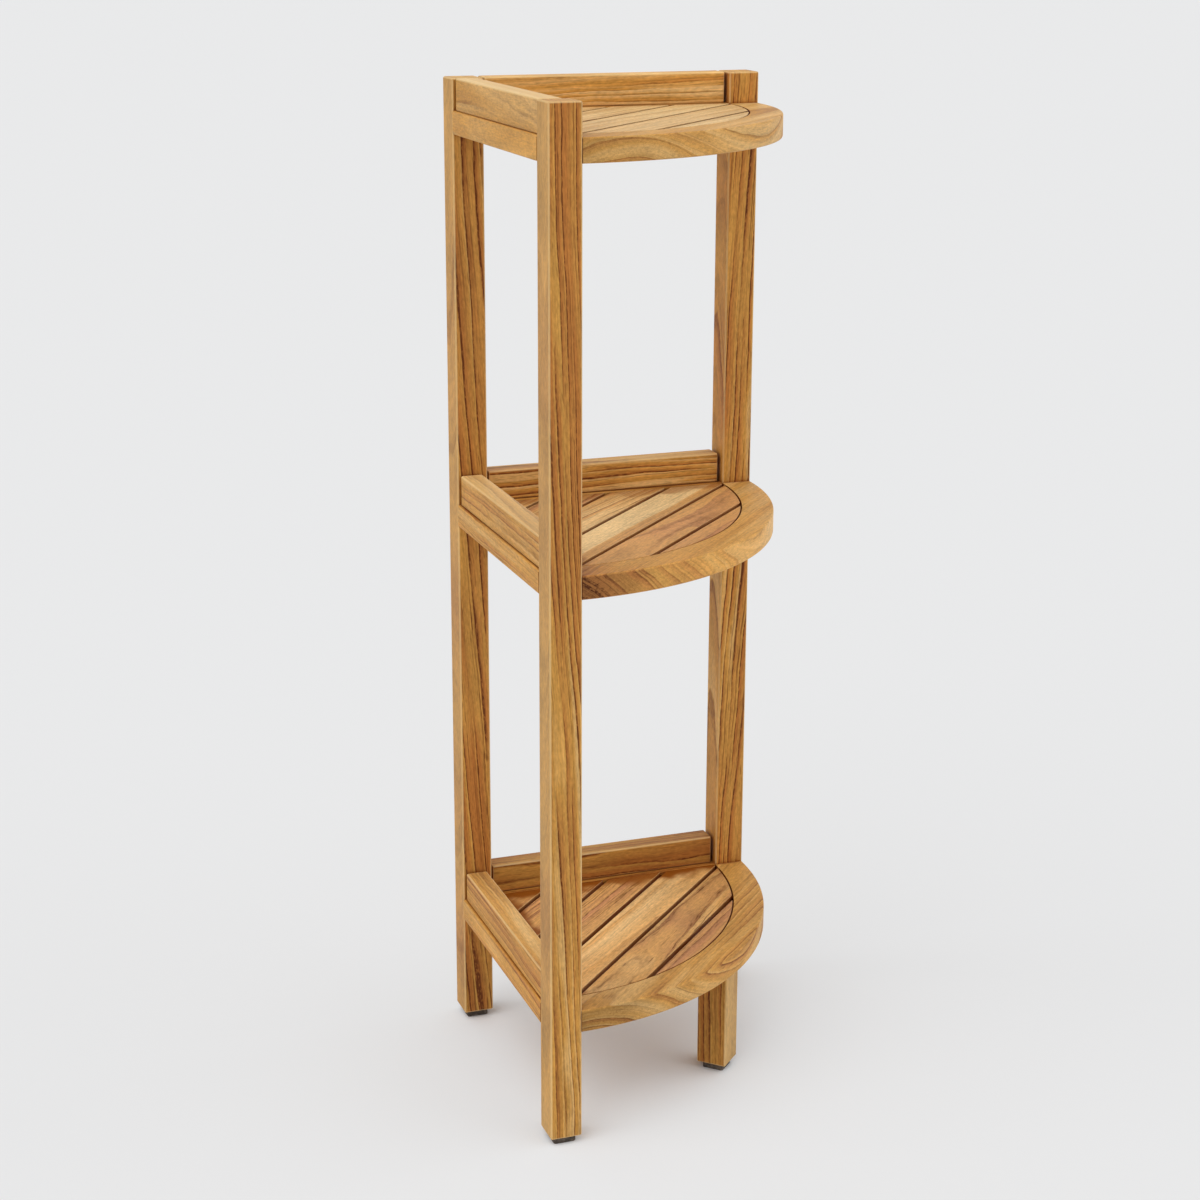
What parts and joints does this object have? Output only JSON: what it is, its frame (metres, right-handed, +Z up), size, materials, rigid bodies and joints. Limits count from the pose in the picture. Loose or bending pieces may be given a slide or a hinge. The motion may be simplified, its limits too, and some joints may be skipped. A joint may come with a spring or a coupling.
{
  "type": "corner shelf",
  "caption": "Free-standing three-tier corner shelf in oiled teak, with slatted quarter-round shelves, low gallery rails on the two wall sides and curved front rims",
  "frame": {"origin": "on the floor, under the middle of the square that the plan fits in", "axes": "+Z up; +X runs along the back wall from the corner post to the right post; -Y runs along the side wall from the corner post to the front post, so the rounded front faces +X, -Y"},
  "size_m": [0.355, 0.355, 1.1],
  "materials": {
    "post_teak": "satin oiled",
    "bearer_teak": "satin oiled",
    "gallery_teak": "satin oiled",
    "rim_teak": "satin oiled",
    "slat_teak": "satin oiled",
    "batten_teak": "satin oiled",
    "dowel_beech": "plain",
    "pad_rubber": "matte",
    "fastener_steel": "satin"
  },
  "bodies": {
    "root": {"corner_post": "post_teak", "front_post": "post_teak", "right_post": "post_teak", "short_leg": "post_teak", "corner_foot": "pad_rubber", "front_foot": "pad_rubber", "right_foot": "pad_rubber", "leg_foot": "pad_rubber", "top_side_bearer": "bearer_teak", "top_back_bearer": "bearer_teak", "top_side_gallery": "gallery_teak", "top_back_gallery": "gallery_teak", "top_rim": "rim_teak", "top_batten": "batten_teak", "top_corner_slat": "slat_teak", "top_slat_2": "slat_teak", "top_slat_3": "slat_teak", "top_slat_4": "slat_teak", "top_slat_5": "slat_teak", "top_outer_slat": "slat_teak", "middle_side_bearer": "bearer_teak", "middle_back_bearer": "bearer_teak", "middle_side_gallery": "gallery_teak", "middle_back_gallery": "gallery_teak", "middle_rim": "rim_teak", "middle_batten": "batten_teak", "middle_corner_slat": "slat_teak", "middle_slat_2": "slat_teak", "middle_slat_3": "slat_teak", "middle_slat_4": "slat_teak", "middle_slat_5": "slat_teak", "middle_outer_slat": "slat_teak", "bottom_side_bearer": "bearer_teak", "bottom_back_bearer": "bearer_teak", "bottom_side_gallery": "gallery_teak", "bottom_back_gallery": "gallery_teak", "bottom_rim": "rim_teak", "bottom_batten": "batten_teak", "bottom_corner_slat": "slat_teak", "bottom_slat_2": "slat_teak", "bottom_slat_3": "slat_teak", "bottom_slat_4": "slat_teak", "bottom_slat_5": "slat_teak", "bottom_outer_slat": "slat_teak", "foot_nails": "fastener_steel", "leg_dowels": "dowel_beech", "gallery_screws": "fastener_steel", "batten_screws": "fastener_steel"}
  },
  "joints": []
}
